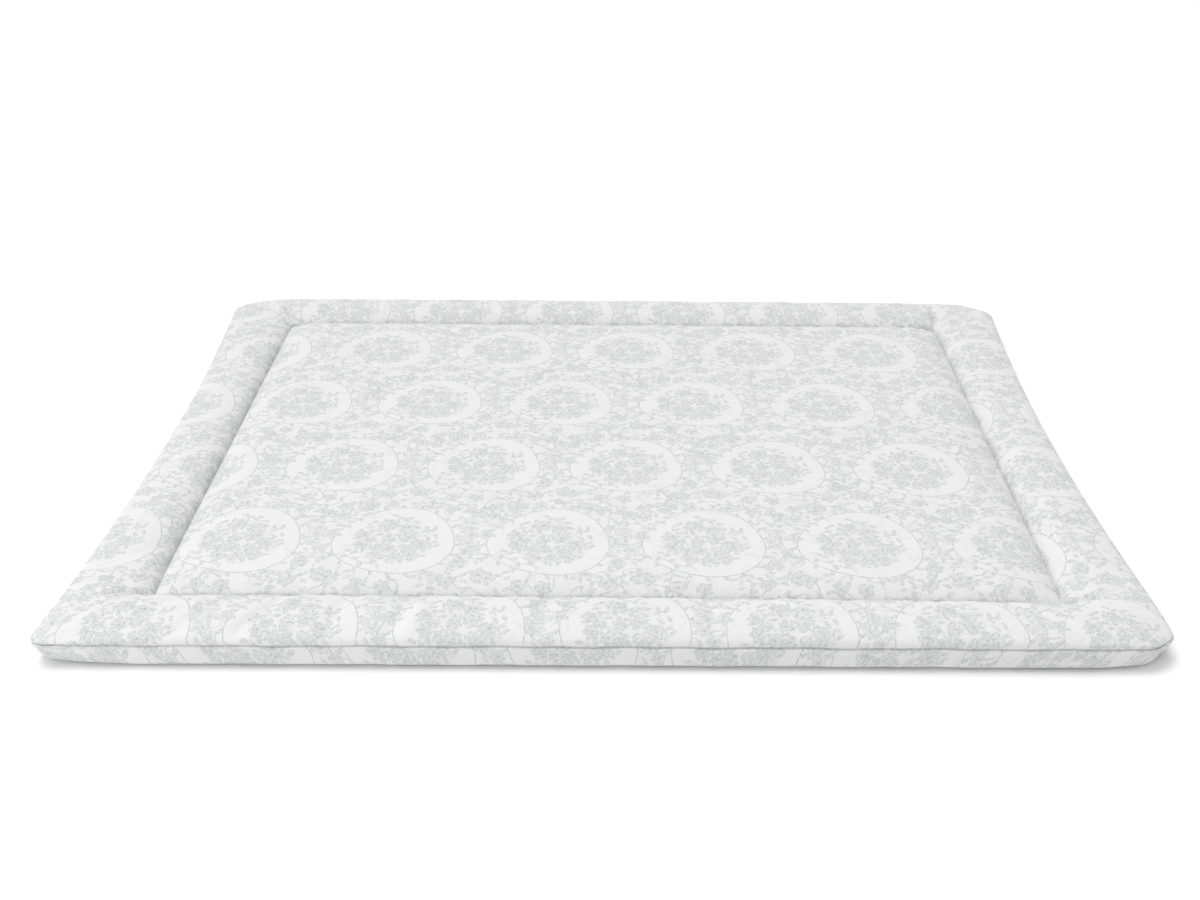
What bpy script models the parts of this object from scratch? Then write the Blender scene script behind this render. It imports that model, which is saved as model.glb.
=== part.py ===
"""Baby play mat: one filled cushion, sewn through along an inner rectangle.

The stitch line parts a padded centre panel from a padded border roll. Top and bottom cover meet in
a plain seam round the edge. The mat lies flat on its underside, with its origin at the middle of
the underside, +X to the right, +Y to the back and +Z up. Sizes are in metres.
"""

import math

import bmesh
import bpy

# The mat in plan
WIDTH = 1.000
DEPTH = 0.800
SIDE_BORDER = 0.084
END_BORDER = 0.0765
SIDE_DRAW_IN = 0.017
END_DRAW_IN = 0.001
CORNER_RADIUS = 0.022
CORNER_REACH = 0.095

# Heights above the surface that the mat lies on
ROLL_CREST = 0.035
CORNER_CREST = 0.032
EDGE_SEAM = 0.0200
STITCH_VALLEY = 0.017
PANEL_SHOULDER = 0.035
PANEL_CROWN = 0.038
UNDER_CHANNEL = 0.006

# How far the filling takes to rise from the stitch line to the panel's shoulder
SHOULDER_WIDTH = 0.048

# Roundness of the padded sections: 2 is an ellipse, more is fuller, and less runs out flatter
ROLL_FULLNESS = 2.2
CORNER_FULLNESS = 1.4
PANEL_FULLNESS = 2.0
CREST_SHARE = 0.48

# Points along the stitch line, and steps across the border roll
PANEL_COLUMNS = 42
PANEL_ROWS = 34
ROLL_STEPS = 12

COVER_COLOUR = (0.80, 0.81, 0.80, 1.0)
COVER_ROUGHNESS = 0.9

# The edge below the roll, from the seam's groove down to the surface.
# Columns: millimetres outward of the edge line, the same at a corner, millimetres of height
EDGE_SECTION = (
    (-1.6, -1.6, 19.4),
    (0.0, 0.0, 18.6),
    (0.6, -2.5, 14.0),
    (0.6, -9.0, 8.5),
    (-0.2, -17.0, 4.0),
    (-3.0, -26.0, 1.2),
    (-8.5, -36.0, 0.0),
)

# The channel that the stitches draw up into the underside.
# Columns: millimetres outward of the stitch line, share of the channel's height
CHANNEL_SECTION = (
    (16.0, 0.0),
    (8.0, 0.35),
    (2.5, 0.85),
    (0.0, 1.0),
    (-2.5, 0.85),
    (-8.0, 0.35),
    (-16.0, 0.0),
)

MM = 0.001

STITCH_X = WIDTH / 2 - SIDE_BORDER
STITCH_Y = DEPTH / 2 - END_BORDER


def quarter(share, fullness):
    """Height, from 0 to 1, of a rounded shoulder at a share of its width."""
    share = min(max(share, 0.0), 1.0)
    return (1 - (1 - share) ** fullness) ** (1 / fullness)


def graded(unit):
    """Moves even steps from -1 to 1 closer together towards both ends."""
    return 0.3 * unit + 0.7 * math.sin(unit * math.pi / 2)


def panel_height(x, y):
    """Height of the centre panel's top: steep at the stitch line, and nearly flat inside."""
    shoulder_x = quarter((STITCH_X - abs(x)) / SHOULDER_WIDTH, PANEL_FULLNESS)
    shoulder_y = quarter((STITCH_Y - abs(y)) / SHOULDER_WIDTH, PANEL_FULLNESS)
    crown = (1 - (x / STITCH_X) ** 2) * (1 - (y / STITCH_Y) ** 2)
    rise = (PANEL_SHOULDER - STITCH_VALLEY) * shoulder_x * shoulder_y
    return STITCH_VALLEY + rise + (PANEL_CROWN - PANEL_SHOULDER) * crown


def roll_height(x, y, corner, share):
    """Height of the border roll at a share of the way from a point of the stitch line to the edge
    seam. The roll is fullest at mid-length, and runs out lower and flatter at the corners."""
    along = min(abs(x) / STITCH_X, abs(y) / STITCH_Y)
    crest = ROLL_CREST - (ROLL_CREST - CORNER_CREST) * along ** 4
    if share < CREST_SHARE:
        rise = quarter(share / CREST_SHARE, ROLL_FULLNESS)
        return STITCH_VALLEY + (crest - STITCH_VALLEY) * rise
    fullness = ROLL_FULLNESS + (CORNER_FULLNESS - ROLL_FULLNESS) * corner
    rise = quarter((1 - share) / (1 - CREST_SHARE), fullness)
    return EDGE_SEAM + (crest - EDGE_SEAM) * rise


def edge_point(x, y):
    """The point of the mat's outline that belongs to a point of the stitch line, and how near it
    is to a corner, from 0 along the sides to 1 at the middle of a corner."""
    px = x * (WIDTH / 2) / STITCH_X
    py = y * (DEPTH / 2) / STITCH_Y
    to_side = WIDTH / 2 - abs(px)
    to_end = DEPTH / 2 - abs(py)
    round_x = WIDTH / 2 - CORNER_RADIUS
    round_y = DEPTH / 2 - CORNER_RADIUS
    turned = max(0.0, 1 - (to_side + to_end) / CORNER_RADIUS)
    if turned > 0:
        angle = math.pi / 4 * turned
        if to_end < to_side:
            angle = math.pi / 2 - angle
        px = math.copysign(round_x + CORNER_RADIUS * math.cos(angle), px)
        py = math.copysign(round_y + CORNER_RADIUS * math.sin(angle), py)
    px -= math.copysign(SIDE_DRAW_IN * max(0.0, 1 - (py / round_y) ** 2), px)
    py -= math.copysign(END_DRAW_IN * max(0.0, 1 - (px / round_x) ** 2), py)
    corner = max(0.0, 1 - (to_side + to_end) / CORNER_REACH) ** 2
    return px, py, corner


def centre_panel(mesh):
    """The panel's top as a grid. Returns its rim in order, anticlockwise from the front left."""
    made = bmesh.ops.create_grid(mesh, x_segments=PANEL_COLUMNS, y_segments=PANEL_ROWS, size=1.0)
    places = {}
    for vert in made["verts"]:
        column = round((vert.co.x + 1) / 2 * PANEL_COLUMNS)
        row = round((vert.co.y + 1) / 2 * PANEL_ROWS)
        places[column, row] = vert
        x = graded(2 * column / PANEL_COLUMNS - 1) * STITCH_X
        y = graded(2 * row / PANEL_ROWS - 1) * STITCH_Y
        vert.co = (x, y, panel_height(x, y))
    front = [(column, 0) for column in range(PANEL_COLUMNS)]
    right = [(PANEL_COLUMNS, row) for row in range(PANEL_ROWS)]
    back = [(column, PANEL_ROWS) for column in range(PANEL_COLUMNS, 0, -1)]
    left = [(0, row) for row in range(PANEL_ROWS, 0, -1)]
    return [places[place] for place in front + right + back + left]


def loft(mesh, inner, points):
    """Adds a loop of points and the faces between it and the loop before it."""
    outer = [mesh.verts.new(point) for point in points]
    for index, vert in enumerate(inner):
        after = (index + 1) % len(inner)
        mesh.faces.new((inner[index], outer[index], outer[after], inner[after]))
    return outer


def outward(start, end, distance):
    """A point at a distance past start, on the line from end towards start."""
    length = math.hypot(start[0] - end[0], start[1] - end[1])
    share = distance / length
    return start[0] + (start[0] - end[0]) * share, start[1] + (start[1] - end[1]) * share


def play_mat():
    """The whole mat as one closed solid: panel, roll, edge and underside, loop by loop."""
    mesh = bmesh.new()
    rim = centre_panel(mesh)
    stitch = [(vert.co.x, vert.co.y) for vert in rim]
    edge = [edge_point(x, y) for x, y in stitch]

    loop = rim
    for step in range(1, ROLL_STEPS + 1):
        share = (1 - math.cos(math.pi * step / ROLL_STEPS)) / 2
        points = []
        for (x, y), (ex, ey, corner) in zip(stitch, edge):
            height = roll_height(x, y, corner, share)
            points.append((x + (ex - x) * share, y + (ey - y) * share, height))
        loop = loft(mesh, loop, points)

    for side_offset, corner_offset, height in EDGE_SECTION:
        points = []
        for inner, (ex, ey, corner) in zip(stitch, edge):
            offset = side_offset + (corner_offset - side_offset) * corner
            x, y = outward((ex, ey), inner, offset * MM)
            points.append((x, y, height * MM))
        loop = loft(mesh, loop, points)

    for offset, share in CHANNEL_SECTION:
        points = []
        for x, y in stitch:
            sx = x * (1 + offset * MM / STITCH_X)
            sy = y * (1 + offset * MM / STITCH_Y)
            points.append((sx, sy, UNDER_CHANNEL * share))
        loop = loft(mesh, loop, points)
    mesh.faces.new(loop)

    bmesh.ops.recalc_face_normals(mesh, faces=mesh.faces)
    data = bpy.data.meshes.new("play_mat")
    mesh.to_mesh(data)
    mesh.free()
    data.shade_smooth()
    return data


def cotton():
    """Printed cotton, plain here: near white and matt."""
    material = bpy.data.materials.new("printed_cotton")
    material.use_nodes = True
    shader = material.node_tree.nodes["Principled BSDF"]
    shader.inputs["Base Color"].default_value = COVER_COLOUR
    shader.inputs["Roughness"].default_value = COVER_ROUGHNESS
    shader.inputs["Metallic"].default_value = 0.0
    return material


for old in list(bpy.data.objects):
    bpy.data.objects.remove(old)

collection = bpy.data.collections.new("baby_play_mat")
bpy.context.scene.collection.children.link(collection)
mat = bpy.data.objects.new("play_mat", play_mat())
mat.data.materials.append(cotton())
collection.objects.link(mat)
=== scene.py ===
# %% [markdown]
# # A padded play mat
#
# This lesson dresses a baby play mat: one cushion of printed cotton, filled with wadding and sewn
# through along an inner rectangle, so that a padded border roll runs round a padded centre panel.
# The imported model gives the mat's place and its overall size. Everything here is fitted to it.
# All lengths are in metres in Blender, and in millimetres where a name ends in _MM or a table
# says so.

# %% The frame
import math

import bpy
import numpy as np
from mathutils import Matrix, Vector


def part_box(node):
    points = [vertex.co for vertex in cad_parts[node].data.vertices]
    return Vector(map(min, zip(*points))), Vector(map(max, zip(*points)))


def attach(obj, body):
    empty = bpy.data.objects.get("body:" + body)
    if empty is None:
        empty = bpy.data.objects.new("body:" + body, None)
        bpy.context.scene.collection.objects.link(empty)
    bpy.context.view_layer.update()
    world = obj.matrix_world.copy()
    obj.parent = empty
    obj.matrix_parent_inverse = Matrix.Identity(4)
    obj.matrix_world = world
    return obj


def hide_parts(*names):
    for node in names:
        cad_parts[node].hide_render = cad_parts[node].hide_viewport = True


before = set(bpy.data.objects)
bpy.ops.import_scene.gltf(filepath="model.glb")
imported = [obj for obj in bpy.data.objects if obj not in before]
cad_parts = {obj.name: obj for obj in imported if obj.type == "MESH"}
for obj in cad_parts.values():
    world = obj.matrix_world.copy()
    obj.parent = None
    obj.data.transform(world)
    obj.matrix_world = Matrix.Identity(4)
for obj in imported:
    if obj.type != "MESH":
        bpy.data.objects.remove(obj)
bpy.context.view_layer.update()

MM = 0.001
mat_low, mat_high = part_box("play_mat")
print("packed mat:", [round((b - a) / MM, 1) for a, b in zip(mat_low, mat_high)], "mm")

# %% [markdown]
# ## The camera
#
# A product photographer stands at the middle of the long side, about one and a half metres away,
# and looks down at the mat. The lens is a short telephoto, so the sides of the mat run together
# only gently towards the back. The place, tilt and lens here were solved from the mat's outline
# in the photograph, so the frame needs no shift.

# %% Camera
LENS_MM = 45.1
SENSOR_MM = 36.0
CAMERA_PLACE = (0.0093, -1.4774, 0.7673)
CAMERA_TILT = math.radians(27.18)
CAMERA_TURN = math.radians(0.78)
CAMERA_ROLL = math.radians(0.13)

camera_data = bpy.data.cameras.new("camera")
camera_data.lens = LENS_MM
camera_data.sensor_width = SENSOR_MM
camera = bpy.data.objects.new("camera", camera_data)
bpy.context.scene.collection.objects.link(camera)
turned = Matrix.Rotation(CAMERA_TURN, 4, "Z")
tilted = Matrix.Rotation(math.pi / 2 - CAMERA_TILT, 4, "X")
rolled = Matrix.Rotation(CAMERA_ROLL, 4, "Z")
camera.matrix_world = Matrix.Translation(CAMERA_PLACE) @ turned @ tilted @ rolled
bpy.context.scene.camera = camera
print("camera looks down by", round(math.degrees(CAMERA_TILT), 1), "degrees")

# %% [markdown]
# ## The mat's sizes
#
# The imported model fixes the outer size. The rest are the sizes that a maker would cut and sew to:
# the width of the border, how far the sides pull in between the corners, and how high the wadding
# lifts the cloth above the floor. They repeat the solid's own sizes, so the dressed mat fills the
# same space.

# %% Sizes
LIP_PROUD = 0.6 * MM
WIDTH = (mat_high.x - mat_low.x) - 2 * LIP_PROUD
DEPTH = (mat_high.y - mat_low.y) - 2 * LIP_PROUD
SIDE_BORDER = 84 * MM
END_BORDER = 76.5 * MM
SIDE_DRAW_IN = 17 * MM
END_DRAW_IN = 1 * MM
CORNER_RADIUS = 22 * MM
CORNER_REACH = 95 * MM

ROLL_CREST = 35 * MM
CORNER_CREST = 32 * MM
ROLL_FOOT = 23.5 * MM
STITCH_VALLEY = 17 * MM
PANEL_SHOULDER = 35 * MM
PANEL_CROWN = mat_high.z
SHOULDER_WIDTH = 48 * MM

ROLL_FULLNESS = 2.2
CORNER_FULLNESS = 1.4
PANEL_FULLNESS = 2.0
CREST_SHARE = 0.48

STITCH_X = WIDTH / 2 - SIDE_BORDER
STITCH_Y = DEPTH / 2 - END_BORDER
print("centre panel:", round(2 * STITCH_X / MM), "by", round(2 * STITCH_Y / MM), "mm")

# %% [markdown]
# ## The stitch line and the outline
#
# The inner stitch line is a sharp-cornered rectangle, and the mat's outline is a rectangle with
# round corners whose sides pull in. Every point of the one belongs to a point of the other, so
# the border is a loft between the two. Points crowd together towards the corners, where the cloth
# has most to do.

# %% Outline
PANEL_COLUMNS = 224
PANEL_ROWS = 180

# The front edge doesn't run quite square: its left end lies this far to the front, and its right
# end as far to the back
FRONT_SLANT = 4.5 * MM

# Sewn corners never come out alike. Columns: which corner in x and in y, its radius in
# millimetres, and how far it lies off its square place in x and in y, in millimetres
CORNERS = (
    (-1, -1, 17, -4, 0),
    (1, -1, 32, -1, 4),
    (1, 1, 40, 0, 0),
    (-1, 1, 34, 0, 0),
)


def graded(unit):
    """Moves even steps from -1 to 1 closer together towards both ends."""
    return 0.5 * unit + 0.5 * np.sin(unit * math.pi / 2)


column_x = graded(np.linspace(-1, 1, PANEL_COLUMNS + 1)) * STITCH_X
row_y = graded(np.linspace(-1, 1, PANEL_ROWS + 1)) * STITCH_Y
rim = [(column, 0) for column in range(PANEL_COLUMNS)]
rim += [(PANEL_COLUMNS, row) for row in range(PANEL_ROWS)]
rim += [(column, PANEL_ROWS) for column in range(PANEL_COLUMNS, 0, -1)]
rim += [(0, row) for row in range(PANEL_ROWS, 0, -1)]
rim = np.array(rim)
stitch = np.stack([column_x[rim[:, 0]], row_y[rim[:, 1]]], axis=1)


def outline(points):
    """The outline's points for points of the stitch line, and how near each is to a corner."""
    x = points[:, 0] * (WIDTH / 2) / STITCH_X
    y = points[:, 1] * (DEPTH / 2) / STITCH_Y
    to_side = WIDTH / 2 - abs(x)
    to_end = DEPTH / 2 - abs(y)
    near = np.maximum(0, 1 - (to_side + to_end) / CORNER_REACH) ** 2
    side_x, side_y = np.where(x < 0, -1, 1), np.where(y < 0, -1, 1)
    for corner_x, corner_y, radius, off_x, off_y in CORNERS:
        radius *= MM
        here = (side_x == corner_x) & (side_y == corner_y)
        turned = 1 - (to_side + to_end) / radius
        angle = math.pi / 4 * turned
        angle = np.where(to_end < to_side, math.pi / 2 - angle, angle)
        bent = here & (turned > 0)
        x = np.where(bent, corner_x * (WIDTH / 2 - radius + radius * np.cos(angle)), x)
        y = np.where(bent, corner_y * (DEPTH / 2 - radius + radius * np.sin(angle)), y)
        x += np.where(here, off_x * MM * near, 0)
        y += np.where(here, off_y * MM * near, 0)
    run_x = x / (WIDTH / 2 - CORNER_RADIUS)
    run_y = y / (DEPTH / 2 - CORNER_RADIUS)
    x -= side_x * SIDE_DRAW_IN * np.maximum(0, 1 - run_y**2)
    y -= side_y * END_DRAW_IN * np.maximum(0, 1 - run_x**2)
    y += FRONT_SLANT * x / (WIDTH / 2) * np.maximum(0, -y / (DEPTH / 2)) ** 4
    return np.stack([x, y], axis=1), near


edge, corner = outline(stitch)
print("points round the stitch line:", len(stitch))

# %% [markdown]
# ## How wadding fills cloth
#
# Between two rows of stitches the cloth rises steeply, then rounds over. A quarter of a
# superellipse does that: with a fullness of 2 it is an ellipse, and a larger number gives a
# fuller, squarer shoulder. The panel and the border roll both use it.

# %% Padded sections
def quarter(share, fullness):
    """Height, from 0 to 1, of a rounded shoulder at a share of its width."""
    share = np.clip(share, 0, 1)
    return (1 - (1 - share) ** fullness) ** (1 / fullness)


def panel_height(x, y):
    """The centre panel's top: steep at the stitch line, and nearly flat inside."""
    shoulder_x = quarter((STITCH_X - abs(x)) / SHOULDER_WIDTH, PANEL_FULLNESS)
    shoulder_y = quarter((STITCH_Y - abs(y)) / SHOULDER_WIDTH, PANEL_FULLNESS)
    crown = (1 - (x / STITCH_X) ** 2) * (1 - (y / STITCH_Y) ** 2)
    rise = (PANEL_SHOULDER - STITCH_VALLEY) * shoulder_x * shoulder_y
    return STITCH_VALLEY + rise + (PANEL_CROWN - PANEL_SHOULDER) * crown


def roll_height(points, near, share):
    """The border roll's top at a share of the way from the stitch line to its outer foot."""
    along = np.minimum(abs(points[:, 0]) / STITCH_X, abs(points[:, 1]) / STITCH_Y)
    crest = ROLL_CREST - (ROLL_CREST - CORNER_CREST) * along**4
    if share < CREST_SHARE:
        rise = quarter(share / CREST_SHARE, ROLL_FULLNESS)
        return STITCH_VALLEY + (crest - STITCH_VALLEY) * rise
    fullness = ROLL_FULLNESS + (CORNER_FULLNESS - ROLL_FULLNESS) * near
    foot = ROLL_FOOT - 3 * MM * near
    rise = quarter((1 - share) / (1 - CREST_SHARE), fullness)
    return foot + (crest - foot) * rise


# %% [markdown]
# ## What sewing does to the cloth
#
# A needle pulls the cloth in a little with every stitch, so small gathers stand on both sides of
# a seam and fade out within a thumb's width. Round the corners the spare cloth falls into short
# pleats, and the border roll has a few soft slanting troughs where the wadding is thinner. The
# gathers come from a few sine waves that don't share a period. The pleats and troughs are placed
# from what the photograph shows.

# %% Gathers, pleats and troughs
GATHER_HEIGHT = 0.75 * MM
GATHER_REACH = 8 * MM
WAVE_ROOM = 1 * MM

# Pleats at the corners of the stitch line. Columns: which corner in x and in y, direction in
# degrees, then start, length, width and depth in millimetres. A negative depth is a bulge
PLEATS = (
    (-1, -1, 197, 1, 54, 3.0, 9.0),
    (-1, -1, 214, 6, 44, 7.0, -3.0),
    (-1, -1, 168, 8, 40, 8.0, 2.0),
    (-1, -1, 224, 4, 46, 5.0, 2.6),
    (-1, -1, 264, 1, 26, 3.0, 2.4),
    (1, -1, 350, 1, 36, 3.0, 8.0),
    (1, -1, 334, 6, 34, 6.0, -2.4),
    (1, -1, 4, 30, 22, 3.0, 4.0),
    (1, -1, 318, 4, 50, 5.0, 2.8),
    (1, -1, 280, 1, 22, 3.0, 2.2),
    (-1, 1, 108, 1, 58, 3.4, 7.0),
    (-1, 1, 132, 3, 50, 3.8, 5.0),
    (-1, 1, 172, 1, 28, 3.0, 2.4),
    (1, 1, 84, 1, 66, 3.2, 7.0),
    (1, 1, 70, 6, 50, 3.0, 5.0),
    (1, 1, 44, 3, 48, 4.2, 3.2),
    (1, 1, 6, 1, 26, 3.0, 2.4),
)

# Troughs across the border roll. Columns: side, place along its stitch line, slant, width and
# depth, all in millimetres. A negative depth is a bulge
TROUGHS = (
    ("front", -366, 10, 8, 2.2),
    ("front", -322, 4, 7, 2.4),
    ("front", -276, 6, 6, 4.2),
    ("front", -262, 6, 6, -1.4),
    ("front", -216, 12, 6, 3.4),
    ("front", -165, 7, 6, 3.8),
    ("front", -151, 7, 6, -1.2),
    ("front", -104, -4, 8, 1.8),
    ("front", -52, 2, 6, 3.2),
    ("front", 22, 8, 9, 2.0),
    ("front", 84, -6, 7, 2.2),
    ("front", 146, 4, 8, 2.0),
    ("front", 218, 6, 7, 2.4),
    ("front", 288, -6, 7, 2.6),
    ("front", 352, 2, 8, 2.4),
    ("right", -268, 10, 9, 1.5),
    ("right", -176, 14, 8, 1.3),
    ("right", -90, -12, 10, 1.2),
    ("right", 20, 10, 9, 1.3),
    ("right", 128, -8, 9, 1.2),
    ("right", 236, -10, 8, 1.5),
    ("back", -340, 10, 9, 1.4),
    ("back", -200, -12, 9, 1.2),
    ("back", -60, 8, 10, 1.2),
    ("back", 84, 12, 9, 1.3),
    ("back", 216, -10, 9, 1.2),
    ("back", 344, -12, 8, 1.4),
    ("left", -250, -12, 9, 1.5),
    ("left", -150, 12, 8, 1.3),
    ("left", -40, -10, 9, 1.3),
    ("left", 74, 10, 10, 1.2),
    ("left", 170, -12, 9, 1.3),
    ("left", 262, 12, 8, 1.5),
)


def gathers(along, phase):
    """A wave from about -1 to 1 along a seam, with an uneven pitch of 10 to 30 mm."""
    wave = np.sin(along / (1.9 * MM) + 1.7 * phase) * 0.35
    wave += np.sin(along / (2.9 * MM) + 2.3 * phase + 1.1) * 0.45
    wave += np.sin(along / (5.3 * MM) + 3.1 * phase + 0.4) * 0.40
    swell = 0.65 + 0.35 * np.sin(along / (23 * MM) + phase)
    return wave * swell


def gather_fade(distance):
    """0 on the seam itself, 1 a little way off, and back to 0 beyond."""
    share = np.abs(distance) / GATHER_REACH
    return share * np.exp(1 - share)


def waves(x, y):
    """Slow swells of the wadding, of about 1 mm."""
    swell = np.sin(x * 31 + 1.3) * np.sin(y * 37 + 0.6)
    swell += 0.7 * np.sin(x * 57 + y * 29 + 2.1)
    swell += 0.5 * np.sin(y * 71 - x * 43 + 0.9)
    return 0.35 * MM * swell


def pleat_depth(x, y):
    """How far the corner pleats press the cloth down at a point."""
    depth = np.zeros_like(x)
    for side_x, side_y, degrees, start, length, width, deep in PLEATS:
        dx = x - side_x * STITCH_X
        dy = y - side_y * STITCH_Y
        turn = math.radians(degrees)
        along = dx * math.cos(turn) + dy * math.sin(turn)
        across = dy * math.cos(turn) - dx * math.sin(turn)
        share = (along - start * MM) / (length * MM)
        fade = np.where((share > 0) & (share < 1), np.sin(np.pi * np.clip(share, 0, 1) ** 0.5), 0)
        spread = width * MM * (0.7 + 0.8 * np.clip(share, 0, 1))
        depth += deep * MM * fade * np.exp(-((across / spread) ** 2))
    return depth


side_of = np.where(rim[:, 1] == 0, 0, 3)
side_of[rim[:, 1] == PANEL_ROWS] = 2
side_of[(rim[:, 0] == PANEL_COLUMNS) & (rim[:, 1] > 0) & (rim[:, 1] < PANEL_ROWS)] = 1
SIDES = ("front", "right", "back", "left")
along_side = np.where((side_of == 0) | (side_of == 2), stitch[:, 0], stitch[:, 1])


def trough_depth(share):
    """How far the troughs press the roll down, for each point round it."""
    depth = np.zeros(len(stitch))
    for side, place, slant, width, deep in TROUGHS:
        middle = (place + slant * (2 * share - 1)) * MM
        here = side_of == SIDES.index(side)
        hollow = deep * MM * np.exp(-(((along_side - middle) / (width * MM)) ** 2))
        depth += np.where(here, hollow, 0)
    return depth * math.sin(math.pi * share) ** 0.6


# %% [markdown]
# ## The centre panel and the border roll
#
# The panel is a grid of points. The roll is a series of loops round it, each one a step further
# over the padded section. The first loop is the stitch line itself, so panel and roll share it,
# as the one piece of cloth does.

# %% Top cover
ROLL_STEPS = 30

panel_x, panel_y = np.meshgrid(column_x, row_y, indexing="ij")
panel_z = panel_height(panel_x, panel_y)
to_seams = (
    (panel_x, panel_y + STITCH_Y, 0.3),
    (panel_y, STITCH_X - panel_x, 1.9),
    (panel_x, STITCH_Y - panel_y, 3.4),
    (panel_y, panel_x + STITCH_X, 5.2),
)
nearest = np.minimum(STITCH_X - abs(panel_x), STITCH_Y - abs(panel_y))
clear_of_seam = 1 - np.exp(-nearest / (20 * MM))
for along, distance, phase in to_seams:
    corner_clear = np.clip(nearest / (1e-9 + distance), 0, 1)
    panel_z += GATHER_HEIGHT * gathers(along, phase) * gather_fade(distance) * corner_clear**0.5
panel_z += waves(panel_x, panel_y) * clear_of_seam
panel_z = np.minimum(panel_z, PANEL_CROWN + WAVE_ROOM)

outward = edge - stitch
border = np.linalg.norm(outward, axis=1)
outward /= border[:, None]
loops = []
for step in range(1, ROLL_STEPS + 1):
    share = (1 - math.cos(math.pi * step / ROLL_STEPS)) / 2
    plan = stitch + outward * (border * share)[:, None]
    height = roll_height(stitch, corner, share)
    wave = gathers(along_side, side_of + 7.0)
    inner_gather = gather_fade(border * share)
    outer_gather = gather_fade(border * (1 - share)) * 0.6
    height += GATHER_HEIGHT * wave * inner_gather * (1 - corner)
    height += GATHER_HEIGHT * gathers(along_side, side_of + 11.0) * outer_gather
    height += waves(plan[:, 0], plan[:, 1]) * math.sin(math.pi * share)
    height -= trough_depth(share)
    height -= pleat_depth(plan[:, 0], plan[:, 1]) * math.sin(math.pi * share) ** 0.3
    loops.append(np.column_stack([plan, height]))
print("panel points:", panel_x.size, " roll loops:", len(loops))

# %% [markdown]
# ## The edge
#
# Top and bottom cover are sewn face to face and turned, so the seam is a thin groove with a fine
# rolled lip of the bottom cover just under it. Below the lip the bottom cover drops as a narrow
# band and turns under to the floor. At the corners it turns under sooner and lifts clear.

# %% Edge and underside
# Columns: millimetres outward of the edge line, the same at a corner, millimetres of height
EDGE_SECTION = (
    (-0.4, -0.3, 22.2),
    (-1.0, -0.7, 21.3),
    (-1.5, -1.0, 20.8),
    (-1.7, -1.1, 20.5),
    (-1.6, -1.1, 20.3),
    (-0.8, -0.5, 20.3),
    (0.4, 0.3, 20.4),
    (1.5, 1.2, 20.0),
    (1.9, 1.5, 19.3),
    (1.5, 0.9, 18.6),
    (0.8, 0.0, 17.9),
    (1.0, -1.0, 14.8),
    (1.8, -2.4, 11.5),
    (2.4, -4.0, 8.7),
    (2.6, -5.6, 6.6),
    (2.5, -7.4, 4.9),
    (2.0, -9.2, 3.7),
    (0.8, -11.5, 2.9),
    (-1.6, -15.0, 2.4),
    (-7.0, -21.0, 1.9),
    (-15.0, -30.0, 1.2),
    (-26.0, -44.0, 0.0),
)
SEAM_LOOP = ROLL_STEPS + 5

# The channel that the stitches draw up into the underside.
# Columns: millimetres outward of the stitch line, share of the channel's height
UNDER_CHANNEL = 6 * MM
CHANNEL_SECTION = (
    (16.0, 0.0),
    (8.0, 0.35),
    (2.5, 0.85),
    (0.0, 1.0),
    (-2.5, 0.85),
    (-8.0, 0.35),
    (-16.0, 0.0),
)

edge_sway = 0.35 * MM * (np.sin(along_side * 61 + side_of) + np.sin(along_side * 137 + 2 * side_of))
for side_offset, corner_offset, height in EDGE_SECTION:
    offset = (side_offset + (corner_offset - side_offset) * corner) * MM
    lift = np.full(len(stitch), height * MM) + edge_sway * min(1.0, height / 6)
    loops.append(np.column_stack([edge + outward * offset[:, None], np.maximum(lift, 0)]))
for offset, share in CHANNEL_SECTION:
    spread = 1 + offset * MM / np.array([STITCH_X, STITCH_Y])
    loops.append(np.column_stack([stitch * spread, np.full(len(stitch), UNDER_CHANNEL * share)]))
print("loops in all:", len(loops))

# %% [markdown]
# ## Where the print lies
#
# The print is on flat cloth, and the padding takes up length. So every point needs its place on
# the flat cloth: along the panel and over the roll, lengths are measured on the surface. That
# place is kept as a UV map, in metres. The bottom cover is another piece of cloth, so from the
# seam on its print starts elsewhere and doesn't meet that of the top.

# %% Flat cloth
BOTTOM_SHIFT = np.array([0.047, 0.021])


def surface_length(place, height):
    """Length along a section from its middle, from its places and heights."""
    steps = np.hypot(np.diff(place), np.diff(height))
    run = np.concatenate([[0], np.cumsum(steps)])
    return run - run[len(run) // 2]


flat_x = surface_length(column_x, panel_height(column_x, 0))
flat_y = surface_length(row_y, panel_height(0, row_y))
panel_flat = np.stack(np.meshgrid(flat_x, flat_y, indexing="ij"), axis=-1)
stitch_flat = panel_flat[rim[:, 0], rim[:, 1]]

rim_height = panel_z[rim[:, 0], rim[:, 1]]
before = np.column_stack([stitch, rim_height])
run = np.zeros(len(stitch))
loop_flat = []
for loop in loops:
    run = run + np.linalg.norm(loop - before, axis=1)
    before = loop
    loop_flat.append(stitch_flat + outward * run[:, None])
print("cloth over the roll at mid-length:", round(run[0] / MM), "mm")

# %% [markdown]
# ## One mesh
#
# The points are joined into one closed skin: the panel's grid, a band of faces between each loop
# and the next, and one flat face that closes the underside.

# %% Mesh
panel_index = np.arange(panel_x.size).reshape(panel_x.shape)
points = [np.stack([panel_x, panel_y, panel_z], axis=-1).reshape(-1, 3)]
a, b = panel_index[:-1, :-1], panel_index[1:, :-1]
c, d = panel_index[1:, 1:], panel_index[:-1, 1:]
faces = [np.stack([a, b, c, d], axis=-1).reshape(-1, 4)]
flat_a, flat_b = panel_flat[:-1, :-1], panel_flat[1:, :-1]
flat_c, flat_d = panel_flat[1:, 1:], panel_flat[:-1, 1:]
flat = [np.stack([flat_a, flat_b, flat_c, flat_d], axis=2).reshape(-1, 4, 2)]

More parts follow.
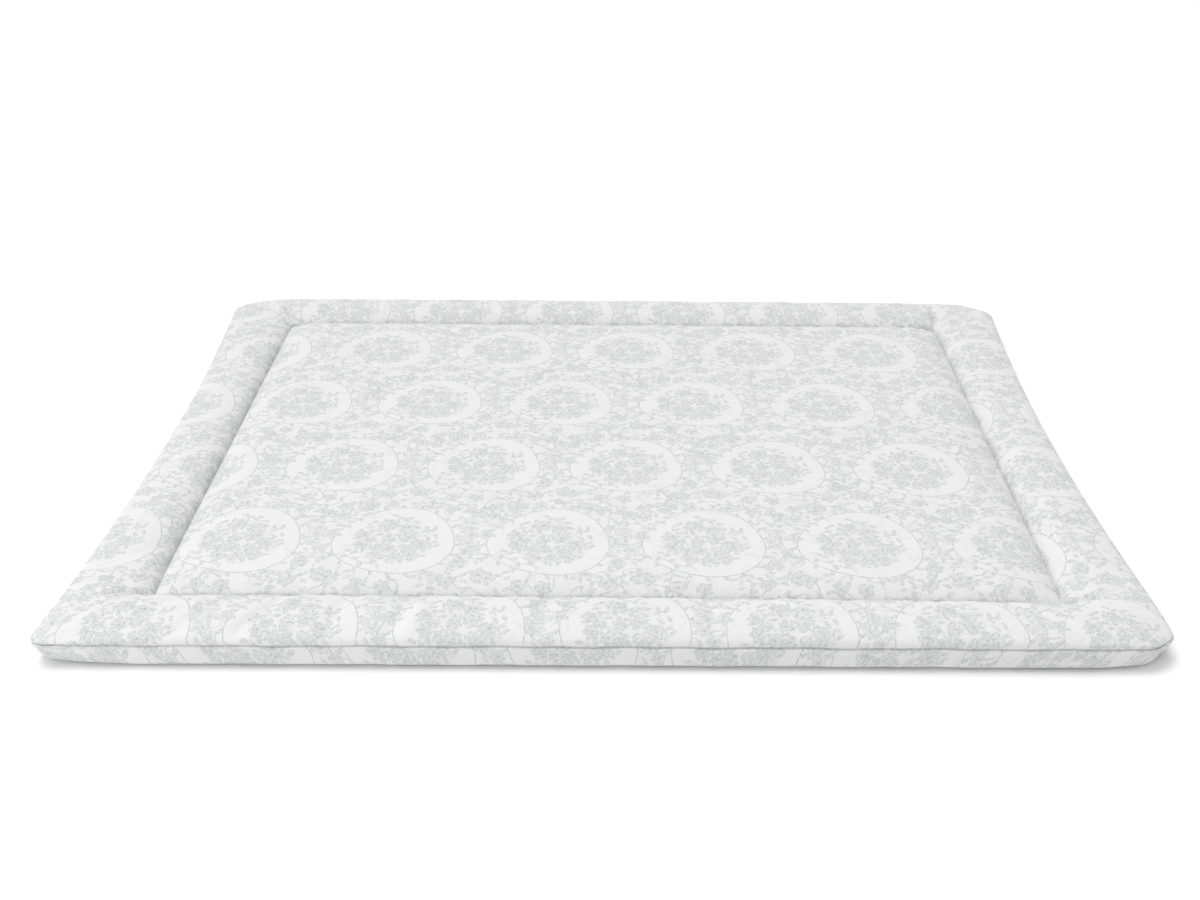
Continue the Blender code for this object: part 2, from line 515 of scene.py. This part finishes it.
inner = panel_index[rim[:, 0], rim[:, 1]]
inner_flat = stitch_flat
count = panel_x.size
for number, (loop, place) in enumerate(zip(loops, loop_flat), start=1):
    outer = np.arange(count, count + len(loop))
    count += len(loop)
    points.append(loop)
    shift = BOTTOM_SHIFT if number > SEAM_LOOP else 0
    faces.append(np.stack([inner, outer, np.roll(outer, -1), np.roll(inner, -1)], axis=1))
    corners = (inner_flat, place, np.roll(place, -1, axis=0), np.roll(inner_flat, -1, axis=0))
    flat.append(np.stack(corners, axis=1) + shift)
    inner, inner_flat = outer, place

points = np.concatenate(points)
faces = np.concatenate(faces)
flat = np.concatenate(flat).reshape(-1, 2)
underside = inner[::-1]
underside_flat = points[underside][:, :2] + BOTTOM_SHIFT

cover_mesh = bpy.data.meshes.new("play_mat_cover")
cover_mesh.from_pydata(points.tolist(), [], faces.tolist() + [underside.tolist()])
cloth_map = cover_mesh.uv_layers.new(name="cloth")
cloth_map.data.foreach_set("uv", np.concatenate([flat, underside_flat]).astype(np.float32).ravel())
cover_mesh.shade_smooth()
cover_mesh.validate()
cover = bpy.data.objects.new("play_mat_cover", cover_mesh)
bpy.context.scene.collection.objects.link(cover)
print("cover:", len(points), "points,", 2 * len(faces) + len(underside) - 2, "triangles")

# %% [markdown]
# ## Nodes
#
# Materials here are built from many small nodes. One function adds a node: its inputs are given
# in order, as numbers or as other nodes, and its settings by name. Colours are written as the hex
# values that a colour picker gives, and one function turns them to the linear light that Blender
# works in.

# %% Helpers for materials
def linear(hex_code):
    """Linear RGBA from an sRGB hex colour."""
    channels = [int(hex_code[i : i + 2], 16) / 255 for i in (1, 3, 5)]
    low = [c / 12.92 if c <= 0.04045 else ((c + 0.055) / 1.055) ** 2.4 for c in channels]
    return (*low, 1.0)


def add_node(tree, kind, *inputs, named=None, **settings):
    """Adds a node with its settings. An input is a value, a node's first output, or a socket."""
    node = tree.nodes.new("ShaderNode" + kind)
    for name, value in settings.items():
        setattr(node, name, value)
    filled = list(enumerate(inputs)) + list((named or {}).items())
    for place, value in filled:
        if value is None:
            continue
        if isinstance(value, bpy.types.Node):
            value = value.outputs[0]
        if isinstance(value, bpy.types.NodeSocket):
            tree.links.new(value, node.inputs[place])
        else:
            node.inputs[place].default_value = value
    return node


# %% [markdown]
# ## The print: one repeat
#
# The cloth is a pale floral print: round medallions in a half-drop repeat, each a posy inside a
# blank ring with leafy twigs round it, and small flowers and leaves between. A half-drop moves
# every other row along by half a repeat. Wrapping the flat place into one cell of that lattice
# gives every medallion the same drawing. Four such cells are used, centred on the medallion, on
# the pinch between neighbours, and on the gaps above and below a medallion. Each motif is drawn in
# a cell that has it well inside, so that none is cut by a cell's edge.

# %% Repeat
REPEAT_MM = 147.5
ROW_MM = 152.0
SHIFT_MM = (19.0, -92.0)


def repeat_cell(tree, cloth, from_x, from_y):
    """The place in mm from the middle of the nearest cell of the half-drop lattice. The cell's
    middle lies at a share of a repeat from a medallion's."""
    parts = add_node(tree, "SeparateXYZ", cloth)
    shift_y = SHIFT_MM[1] + from_y * ROW_MM
    shift_x = SHIFT_MM[0] + from_x * REPEAT_MM
    y = add_node(tree, "Math", parts.outputs["Y"], shift_y, operation="SUBTRACT")
    rows = add_node(tree, "Math", y, ROW_MM, operation="DIVIDE")
    row = add_node(tree, "Math", rows, operation="ROUND")
    odd = add_node(tree, "Math", row, 2.0, operation="FLOORED_MODULO")
    half = add_node(tree, "Math", odd, REPEAT_MM / 2, shift_x, operation="MULTIPLY_ADD")
    x = add_node(tree, "Math", parts.outputs["X"], half, operation="SUBTRACT")
    near_x = add_node(tree, "Math", x, REPEAT_MM / 2, -REPEAT_MM / 2, operation="WRAP")
    near_y = add_node(tree, "Math", y, ROW_MM / 2, -ROW_MM / 2, operation="WRAP")
    return add_node(tree, "CombineXYZ", near_x, near_y, 0.0)


# %% [markdown]
# ## The print: flowers, leaves and twigs
#
# A Voronoi texture scatters points and tells, for each spot of cloth, where its nearest point
# lies. Round that point a flower is drawn in polar terms: a cosine of the angle makes petals, and
# a faster one their engraved strokes. A leaf is an ellipse turned by the point's own random
# number. A twig is a ring with leaves leaning out on one side of it, or on both.

# %% Scattered spots
def scatter(tree, place, cell, seed):
    """Scattered points about a cell apart, in mm: the way from the nearest one, its own place and
    its random numbers."""
    far_off = (seed * 173.0, seed * 91.0, 0.0)
    moved = add_node(tree, "VectorMath", place, far_off, operation="ADD")
    settings = {"Scale": 1 / cell, "Randomness": 0.75}
    points = add_node(tree, "TexVoronoi", moved, named=settings, voronoi_dimensions="2D")
    spot = points.outputs["Position"]
    away = add_node(tree, "VectorMath", moved, spot, operation="SUBTRACT")
    home = add_node(tree, "VectorMath", spot, far_off, operation="SUBTRACT")
    chance = add_node(tree, "SeparateColor", points.outputs["Color"])
    return away, home, chance


def reach(tree, home, centre=(0.0, 0.0), squash=1.0):
    """How far a motif's own place lies from a centre, with left and right alike."""
    folded = add_node(tree, "VectorMath", home, operation="ABSOLUTE")
    parts = add_node(tree, "SeparateXYZ", home)
    x = add_node(tree, "SeparateXYZ", folded).outputs["X"]
    mirrored = add_node(tree, "CombineXYZ", x, parts.outputs["Y"], 0.0)
    moved = add_node(tree, "VectorMath", mirrored, (*centre, 0.0), operation="SUBTRACT")
    shaped = add_node(tree, "VectorMath", moved, (1.0, 1 / squash, 1.0), operation="MULTIPLY")
    return add_node(tree, "VectorMath", shaped, operation="LENGTH").outputs["Value"]


def within(tree, spots, limit, squash=1.0):
    """1 where a motif's own place is near the middle of its cell. Some stop sooner than others."""
    away, home, chance = spots
    own_limit = add_node(
        tree, "Math", chance.outputs["Red"], 0.22 * limit, 0.86 * limit, operation="MULTIPLY_ADD"
    )
    return add_node(tree, "Math", reach(tree, home, squash=squash), own_limit, operation="LESS_THAN")


def clear_of(tree, spots, limit, centre):
    """1 where a motif's own place is clear of a medallion at a centre, and 0 elsewhere."""
    return add_node(tree, "Math", reach(tree, spots[1], centre), limit, operation="GREATER_THAN")


def in_clusters(tree, spots, size, level):
    """1 for the motifs that lie in the patches of a slow noise, so that the others leave gaps."""
    settings = {"Scale": 1 / size, "Detail": 1.0}
    patches = add_node(tree, "TexNoise", spots[1], named=settings, noise_dimensions="2D")
    return add_node(tree, "Math", patches.outputs["Fac"], level, operation="GREATER_THAN")


# %% Motifs
def flowers(tree, spots, size, petals, strokes):
    """Round flowers with lobed rims, engraved strokes and a dark heart, at scattered spots."""
    away, home, chance = spots
    apart = add_node(tree, "VectorMath", away, operation="LENGTH").outputs["Value"]
    parts = add_node(tree, "SeparateXYZ", away)
    angle = add_node(tree, "Math", parts.outputs["Y"], parts.outputs["X"], operation="ARCTAN2")
    turn = add_node(tree, "Math", chance.outputs["Red"], math.tau, operation="MULTIPLY")
    lobed = add_node(tree, "Math", angle, float(petals), turn, operation="MULTIPLY_ADD")
    lobe = add_node(tree, "Math", lobed, operation="COSINE")
    spread = (0.35 * size, 0.75 * size)
    grown = add_node(tree, "Math", chance.outputs["Green"], *spread, operation="MULTIPLY_ADD")
    wavy = add_node(tree, "Math", lobe, 0.16, 0.84, operation="MULTIPLY_ADD")
    rim = add_node(tree, "Math", grown, wavy, operation="MULTIPLY")
    share = add_node(tree, "Math", apart, rim, operation="DIVIDE")
    disc = add_node(tree, "MapRange", share, 1.06, 0.94, 0.0, 1.0)
    lined = add_node(tree, "Math", angle, float(strokes), turn, operation="MULTIPLY_ADD")
    line = add_node(tree, "Math", lined, operation="COSINE")
    stroke = add_node(tree, "MapRange", line, -0.7, 0.7, 0.25, 0.8)
    edge_line = add_node(tree, "MapRange", share, 0.7, 0.95, 0.0, 1.0)
    heart = add_node(tree, "MapRange", share, 0.32, 0.2, 0.0, 1.0)
    drawn = add_node(tree, "Math", stroke, edge_line, operation="MAXIMUM")
    drawn = add_node(tree, "Math", drawn, heart, operation="MAXIMUM")
    return add_node(tree, "Math", disc, drawn, operation="MULTIPLY")


def buds(tree, spots, size):
    """Small round buds of many tones, at scattered spots."""
    away, home, chance = spots
    apart = add_node(tree, "VectorMath", away, operation="LENGTH").outputs["Value"]
    grown = add_node(
        tree, "Math", chance.outputs["Green"], 0.5 * size, 0.6 * size, operation="MULTIPLY_ADD"
    )
    depth = add_node(tree, "Math", grown, apart, operation="SUBTRACT")
    disc = add_node(tree, "MapRange", depth, -0.4, 0.6, 0.0, 1.0)
    tone = add_node(tree, "Math", chance.outputs["Red"], 0.7, 0.3, operation="MULTIPLY_ADD")
    return add_node(tree, "Math", disc, tone, operation="MULTIPLY")


def leaf_shape(tree, place, turn, length, width):
    """One pointed leaf with a pale midrib, lying at a turn."""
    turned = add_node(tree, "VectorRotate", place, rotation_type="Z_AXIS", named={"Angle": turn})
    size = (1 / length, 1 / width, 0.0)
    shaped = add_node(tree, "VectorMath", turned, size, operation="MULTIPLY")
    parts = add_node(tree, "SeparateXYZ", shaped)
    tip = add_node(tree, "Math", parts.outputs["X"], 2.0, operation="POWER")
    side = add_node(tree, "Math", parts.outputs["Y"], operation="ABSOLUTE")
    far = add_node(tree, "Math", tip, side, operation="ADD")
    body = add_node(tree, "MapRange", far, 1.15, 0.8, 0.0, 1.0)
    split = add_node(tree, "MapRange", side, 0.05, 0.3, 0.4, 1.0)
    return add_node(tree, "Math", body, split, operation="MULTIPLY")


def leaves(tree, spots, length, width):
    """Leaves that lie every way, at scattered spots."""
    away, home, chance = spots
    turn = add_node(tree, "Math", chance.outputs["Blue"], math.tau, operation="MULTIPLY")
    return leaf_shape(tree, away, turn, length, width)


def polar(tree, place, sway):
    """Distance and angle of a place from the middle of its cell, with the circle a little bent."""
    parts = add_node(tree, "SeparateXYZ", place)
    angle = add_node(tree, "Math", parts.outputs["Y"], parts.outputs["X"], operation="ARCTAN2")
    threefold = add_node(tree, "Math", angle, 3.0, 0.7, operation="MULTIPLY_ADD")
    lobe = add_node(tree, "Math", threefold, operation="SINE")
    apart = add_node(tree, "VectorMath", place, operation="LENGTH").outputs["Value"]
    return add_node(tree, "Math", lobe, sway, apart, operation="MULTIPLY_ADD"), angle


def leafy_ring(tree, around, radius, length, width, inside=True):
    """A twig bent round a circle, with leaves leaning out of both its sides or the outer one."""
    apart, angle = around
    count = 2 * round(math.pi * radius / (1.9 * length))
    step = math.tau / count
    steps = add_node(tree, "Math", angle, step, operation="DIVIDE")
    number = add_node(tree, "Math", steps, operation="ROUND")
    odd = add_node(tree, "Math", number, 2.0, operation="FLOORED_MODULO")
    side = add_node(tree, "Math", odd, 2.0, -1.0, operation="MULTIPLY_ADD")
    part = add_node(tree, "Math", steps, number, operation="SUBTRACT")
    along = add_node(tree, "Math", part, step * radius, operation="MULTIPLY")
    off = add_node(tree, "Math", apart, radius, operation="SUBTRACT")
    across = add_node(tree, "Math", off, side, operation="MULTIPLY")
    lifted = add_node(tree, "Math", across, 0.7 * length, operation="SUBTRACT")
    spot = add_node(tree, "CombineXYZ", along, lifted, 0.0)
    leaf = leaf_shape(tree, spot, -0.9, length, width)
    if not inside:
        leaf = add_node(tree, "Math", leaf, odd, operation="MULTIPLY")
    line = add_node(tree, "Math", off, operation="ABSOLUTE")
    twig = add_node(tree, "MapRange", line, 1.0, 0.4, 0.0, 1.0)
    return add_node(tree, "Math", leaf, twig, operation="MAXIMUM")


def between(tree, around, middle, half):
    """1 where an angle is within half of a middle one, with soft ends. Degrees."""
    off = add_node(tree, "Math", around[1], math.radians(middle), operation="SUBTRACT")
    near = add_node(tree, "Math", off, math.pi, -math.pi, operation="WRAP")
    far = add_node(tree, "Math", near, operation="ABSOLUTE")
    ends = (math.radians(half + 3), math.radians(half - 3))
    return add_node(tree, "MapRange", far, *ends, 0.0, 1.0)


# %% [markdown]
# ## The print: putting it together
#
# The layers are drawn as amounts of ink and the strongest wins. Each scattered motif is kept or
# dropped by where its own point lies, never by where its petals end, so that none is cut off. The
# ground under the flowers carries a pale tint of fine hatching, as engraved prints do, and the
# ring inside the twigs stays blank. The tendrils are the lines of one height of a slow noise, as on
# a map.

# %% Composing the print
RING_MM = 58.0


def print_ink(tree, cloth):
    """How much ink lies on a spot of cloth, from 0 to 1."""
    medallion = repeat_cell(tree, cloth, 0.0, 0.0)
    pinch = repeat_cell(tree, cloth, 0.5, 0.0)
    above = repeat_cell(tree, cloth, 0.0, 0.5)
    below = repeat_cell(tree, cloth, 0.5, 0.5)
    ring = polar(tree, medallion, 3.0)
    garland = polar(tree, pinch, 1.2)
    layers = []

    def lay(strength, tone, *limits):
        for limit in limits:
            tone = add_node(tree, "Math", tone, limit, operation="MULTIPLY")
        layers.append(add_node(tree, "Math", tone, strength, operation="MULTIPLY"))

    spots = scatter(tree, medallion, 17.0, 3)
    lay(1.0, flowers(tree, spots, 9.4, 6, 16), within(tree, spots, 34.0))
    spots = scatter(tree, medallion, 6.4, 5)
    lay(0.75, buds(tree, spots, 2.4), within(tree, spots, 42.0), in_clusters(tree, spots, 22, 0.46))
    spots = scatter(tree, medallion, 9.0, 6)
    lay(0.8, leaves(tree, spots, 5.8, 2.1), within(tree, spots, 45.0))
    lay(0.85, leafy_ring(tree, ring, RING_MM, 4.4, 1.9, False))
    lay(0.8, leafy_ring(tree, ring, RING_MM, 4.6, 2.0), between(tree, ring, 150, 30))
    lay(0.8, leafy_ring(tree, ring, 49.0, 5.0, 2.2), between(tree, ring, 232, 26))

    spots = scatter(tree, pinch, 13.0, 8)
    lay(0.9, flowers(tree, spots, 7.4, 6, 16), within(tree, spots, 15.0, 1.6))
    spots = scatter(tree, pinch, 8.0, 9)
    aside = clear_of(tree, spots, RING_MM + 5, (REPEAT_MM / 2, 0.0))
    some = in_clusters(tree, spots, 26, 0.47)
    lay(0.7, leaves(tree, spots, 4.8, 1.9), within(tree, spots, 42.0, 1.1), aside, some)
    lay(0.8, leafy_ring(tree, garland, 33.0, 4.4, 1.7), between(tree, garland, 90, 42))
    lay(0.8, leafy_ring(tree, garland, 33.0, 4.4, 1.7), between(tree, garland, 270, 42))

    for cell, seed, end in ((above, 11, -1), (below, 14, 1)):
        centres = ((0.0, end * ROW_MM / 2), (REPEAT_MM / 2, -end * ROW_MM / 2))
        spots = scatter(tree, cell, 19.0, seed)
        clear = [clear_of(tree, spots, RING_MM + 10, centre) for centre in centres]
        clear.append(in_clusters(tree, spots, 40, 0.44))
        lay(1.0, flowers(tree, spots, 9.2, 5, 15), within(tree, spots, 42.0), *clear)
        spots = scatter(tree, cell, 8.6, seed + 1)
        clear = [clear_of(tree, spots, RING_MM + 5, centre) for centre in centres]
        clear.append(in_clusters(tree, spots, 26, 0.49))
        lay(0.75, leaves(tree, spots, 5.4, 2.1), within(tree, spots, 46.0), *clear)

    ink = layers[0]
    for layer in layers[1:]:
        ink = add_node(tree, "Math", ink, layer, operation="MAXIMUM")
    field = add_node(tree, "MapRange", ring[0], RING_MM - 1, RING_MM + 7, 0.3, 1.0)
    posy = add_node(tree, "MapRange", ring[0], 36.0, 46.0, 1.0, 0.0)
    settings = {"Scale": 0.03, "Detail": 1.0, "Roughness": 0.4}
    hills = add_node(tree, "TexNoise", cloth, named=settings, noise_dimensions="2D")
    level = add_node(tree, "Math", hills.outputs["Fac"], 0.5, operation="SUBTRACT")
    off = add_node(tree, "Math", level, operation="ABSOLUTE")
    tendril = add_node(tree, "MapRange", off, 0.020, 0.010, 0.0, 0.75)
    tendril = add_node(tree, "Math", tendril, field, operation="MULTIPLY")
    ink = add_node(tree, "Math", ink, tendril, operation="MAXIMUM")
    settings = {"Scale": 0.5, "Detail": 2.0, "Roughness": 0.7}
    hatching = add_node(tree, "TexNoise", cloth, named=settings, noise_dimensions="2D")
    tint = add_node(tree, "MapRange", hatching.outputs["Fac"], 0.4, 0.62, 0.02, 0.26)
    settings = {"Scale": 0.045, "Detail": 1.0, "Roughness": 0.5}
    shade = add_node(tree, "TexNoise", cloth, named=settings, noise_dimensions="2D")
    patch = add_node(tree, "MapRange", shade.outputs["Fac"], 0.42, 0.6, 0.3, 1.3)
    tint = add_node(tree, "Math", tint, patch, operation="MULTIPLY")
    tinted = add_node(tree, "Math", posy, field, operation="MAXIMUM")
    tint = add_node(tree, "Math", tint, tinted, operation="MULTIPLY")
    return add_node(tree, "Math", ink, tint, operation="MAXIMUM")


# %% [markdown]
# ## Printed cotton percale
#
# Percale is a plain weave of fine combed cotton, calendered smooth, so it is matt with only a
# faint soft sheen at grazing angles. Its threads lie about 0.3 mm apart, too fine to show from a
# step away, so the weave is drawn four times as coarse. The print is a pigment print in grey
# green on near white, and it leaves the surface as it was, so only the colour changes.

# %% Printed cotton percale
GROUND = linear("#DEDEDE")
INK = linear("#B9BBBA")
THREAD_MM = 1.2


def cotton_percale():
    material = bpy.data.materials.new("printed_cotton_percale")
    material.use_nodes = True
    tree = material.node_tree
    shader = tree.nodes["Principled BSDF"]
    shader.inputs["Roughness"].default_value = 0.88
    shader.inputs["IOR"].default_value = 1.46
    shader.inputs["Specular IOR Level"].default_value = 0.25
    shader.inputs["Sheen Weight"].default_value = 0.06
    shader.inputs["Sheen Roughness"].default_value = 0.45

    flat_place = add_node(tree, "UVMap", uv_map="cloth")
    cloth = add_node(tree, "VectorMath", flat_place, (1000.0, 1000.0, 0.0), operation="MULTIPLY")
    ink = print_ink(tree, cloth)
    settings = {"Scale": 0.33, "Detail": 3.0, "Roughness": 0.7}
    grain = add_node(tree, "TexNoise", cloth, named=settings, noise_dimensions="2D")
    etched = add_node(tree, "MapRange", grain.outputs["Fac"], 0.36, 0.64, 0.4, 1.2)
    amount = add_node(tree, "Math", ink, etched, operation="MULTIPLY")
    colour = add_node(tree, "Mix", named={0: amount, 6: GROUND, 7: INK}, data_type="RGBA")
    tree.links.new(colour.outputs[2], shader.inputs["Base Color"])

    parts = add_node(tree, "SeparateXYZ", cloth)
    threads = []
    for axis in ("X", "Y"):
        turns = add_node(
            tree, "Math", parts.outputs[axis], math.tau / THREAD_MM, operation="MULTIPLY"
        )
        threads.append(add_node(tree, "Math", turns, operation="SINE"))
    weave = add_node(tree, "Math", threads[0], threads[1], operation="MULTIPLY")
    settings = {"Scale": 0.09, "Detail": 4.0, "Roughness": 0.6}
    crumple = add_node(tree, "TexNoise", cloth, named=settings, noise_dimensions="2D")
    relief = add_node(
        tree, "Math", weave, 0.03, crumple.outputs["Fac"], operation="MULTIPLY_ADD"
    )
    settings = {"Strength": 0.35, "Distance": 0.0012, "Height": relief.outputs[0]}
    bump = add_node(tree, "Bump", named=settings)
    tree.links.new(bump.outputs["Normal"], shader.inputs["Normal"])
    print("percale:", len(tree.nodes), "nodes; threads drawn", THREAD_MM, "mm apart")
    return material


cover_mesh.materials.append(cotton_percale())

# %% [markdown]
# ## Floor and light
#
# The mat lies on a seamless white sweep that is lit until it burns out to plain white. An even
# white sky stands for the light that the studio walls throw back. A broad lamp above and behind
# the mat draws the tight shadow under its front edge. A softbox at the front left fills the front
# faces, and it fades over the mat towards the back right.

# %% Studio
FLOOR_SIZE = 24.0
SKY_STRENGTH = 0.60
KEY_STRENGTH = 1.74
KEY_ANGLE = math.radians(45)
KEY_TURN = (math.radians(-18), math.radians(-14), 0)
FILL_WATTS = 12.2
FILL_SIZE = 1.2
FILL_PLACE = (-1.2, -1.9, 1.0)

scene = bpy.context.scene
scene.view_settings.view_transform = "Standard"
scene.view_settings.look = "None"

floor_mesh = bpy.data.meshes.new("floor")
half = FLOOR_SIZE / 2
floor_corners = [(-half, -half, 0), (half, -half, 0), (half, half, 0), (-half, half, 0)]
floor_mesh.from_pydata(floor_corners, [], [(0, 1, 2, 3)])
floor = bpy.data.objects.new("floor", floor_mesh)
floor.location.z = -0.0002
scene.collection.objects.link(floor)
paper = bpy.data.materials.new("white_sweep_paper")
paper.use_nodes = True
paper_shader = paper.node_tree.nodes["Principled BSDF"]
paper_shader.inputs["Base Color"].default_value = linear("#FAFAFA")
paper_shader.inputs["Roughness"].default_value = 0.95
paper_shader.inputs["Specular IOR Level"].default_value = 0.1
floor_mesh.materials.append(paper)

world = bpy.data.worlds.new("studio")
world.use_nodes = True
sky = world.node_tree.nodes["Background"]
sky.inputs["Color"].default_value = (1.0, 1.0, 1.0, 1.0)
sky.inputs["Strength"].default_value = SKY_STRENGTH
scene.world = world

key_data = bpy.data.lights.new("key", "SUN")
key_data.energy = KEY_STRENGTH
key_data.angle = KEY_ANGLE
key = bpy.data.objects.new("key", key_data)
key.rotation_euler = KEY_TURN
scene.collection.objects.link(key)

fill_data = bpy.data.lights.new("fill", "AREA")
fill_data.energy = FILL_WATTS
fill_data.size = FILL_SIZE
fill = bpy.data.objects.new("fill", fill_data)
fill.location = FILL_PLACE
fill.rotation_euler = Vector(FILL_PLACE).to_track_quat("Z", "Y").to_euler()
scene.collection.objects.link(fill)
print("sky", SKY_STRENGTH, "key", KEY_STRENGTH, "fill", FILL_WATTS, "W")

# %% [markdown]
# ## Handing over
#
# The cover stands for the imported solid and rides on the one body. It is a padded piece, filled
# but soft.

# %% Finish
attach(cover, "root")
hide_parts("play_mat")
